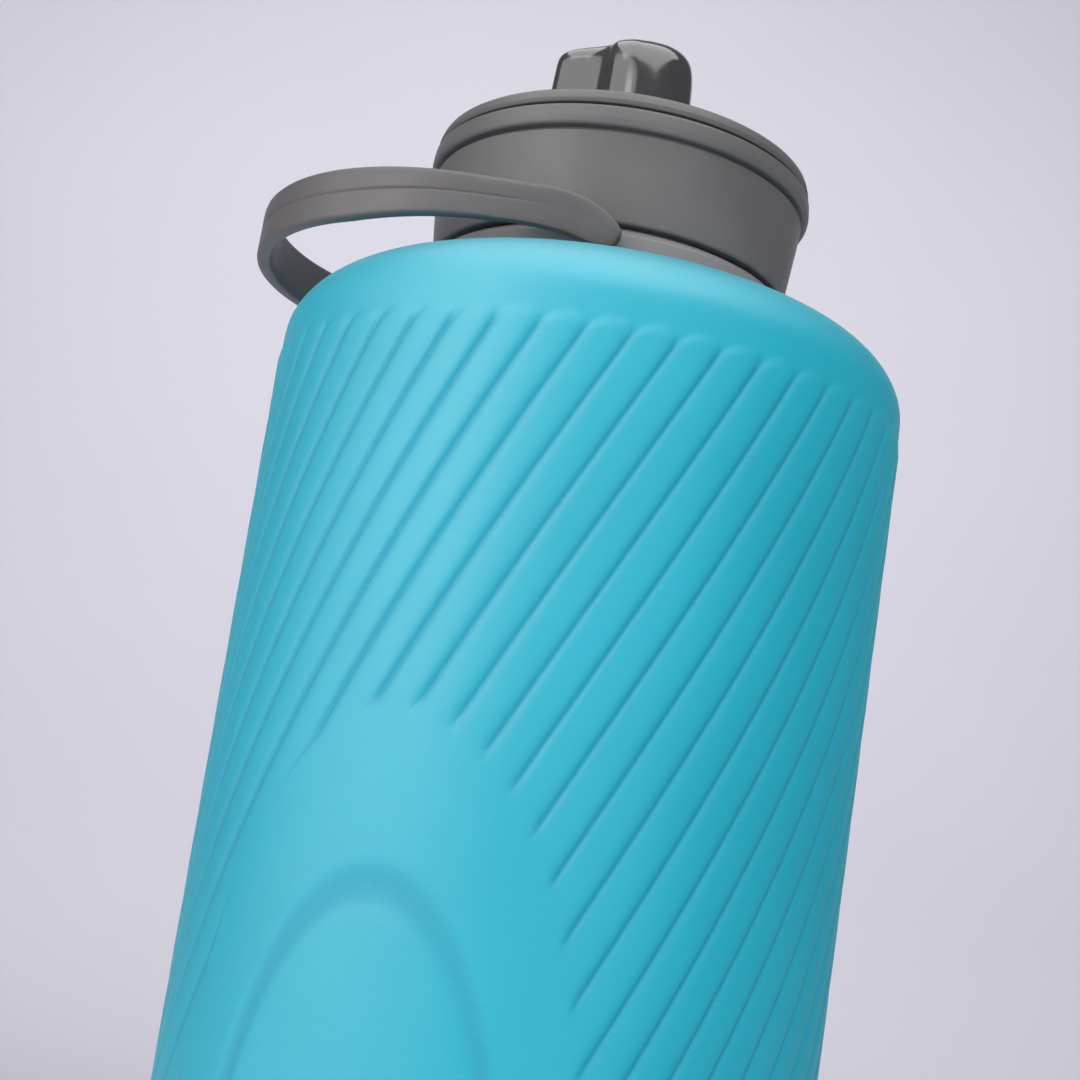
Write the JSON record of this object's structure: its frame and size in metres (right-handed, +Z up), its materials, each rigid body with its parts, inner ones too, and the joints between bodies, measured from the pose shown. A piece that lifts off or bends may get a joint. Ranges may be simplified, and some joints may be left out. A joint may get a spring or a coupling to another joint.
{
  "type": "folding water bottle",
  "caption": "Soft collapsible water bottle with a spirally ribbed flexible body, threaded neck, screw cap, twist-open lobed spout knob and a swivelling loop handle.",
  "frame": {"origin": "centre of the flat base, on the surface the bottle stands on", "axes": "+Z up along the bottle's axis, -X towards the loop of the handle, -Y towards the front"},
  "size_m": [0.095, 0.089, 0.3087],
  "materials": {
    "soft_body": "soft satin turquoise",
    "neck_plastic": "satin mid grey",
    "handle_rubber": "matte warm grey",
    "seal_rubber": "matte black",
    "cap_plastic": "fine matte warm grey",
    "knob_plastic": "glossy dark grey"
  },
  "bodies": {
    "bottle_body": {"body_shell": "soft_body"},
    "neck": {"neck_insert": "neck_plastic"},
    "collar": {"handle_collar": "handle_rubber"},
    "strap": {"handle_strap": "handle_rubber"},
    "cap_carriage": {"cap_gasket": "seal_rubber"},
    "cap": {"cap_shell": "cap_plastic", "cap_deck": "cap_plastic", "spout_stem": "neck_plastic"},
    "knob_carriage": {"stem_o_ring": "seal_rubber"},
    "knob": {"twist_knob": "knob_plastic"}
  },
  "joints": [
    {"name": "collapse", "type": "slide", "parent": "bottle_body", "child": "neck", "axis": [0, 0, 1], "range_m": [-0.19, 0], "deforming": ["body_shell"]},
    {"name": "handle_swivel", "type": "hinge", "parent": "neck", "child": "collar", "pos_m": [0, 0, 0.2695], "axis": [0, 0, 1], "continuous": true},
    {"name": "handle_flip", "type": "hinge", "parent": "collar", "child": "strap", "pos_m": [-0.0012, 0, 0.2695], "axis": [0, 1, 0], "range_deg": [0, 140]},
    {"name": "cap_lift", "type": "slide", "parent": "neck", "child": "cap_carriage", "axis": [0, 0, 1], "range_m": [0, 0.015]},
    {"name": "cap_turn", "type": "hinge", "parent": "cap_carriage", "child": "cap", "pos_m": [0, 0, 0.28], "axis": [0, 0, 1], "range_deg": [0, 900]},
    {"name": "knob_lift", "type": "slide", "parent": "cap", "child": "knob_carriage", "axis": [0, 0, 1], "range_m": [0, 0.003]},
    {"name": "knob_turn", "type": "hinge", "parent": "knob_carriage", "child": "knob", "pos_m": [0, 0, 0.3], "axis": [0, 0, 1], "range_deg": [0, 90]}
  ],
  "couplings": [
    {"joint": "cap_turn", "follows": "cap_lift", "rad_per_m": 1047.2},
    {"joint": "knob_turn", "follows": "knob_lift", "rad_per_m": 523.6}
  ]
}
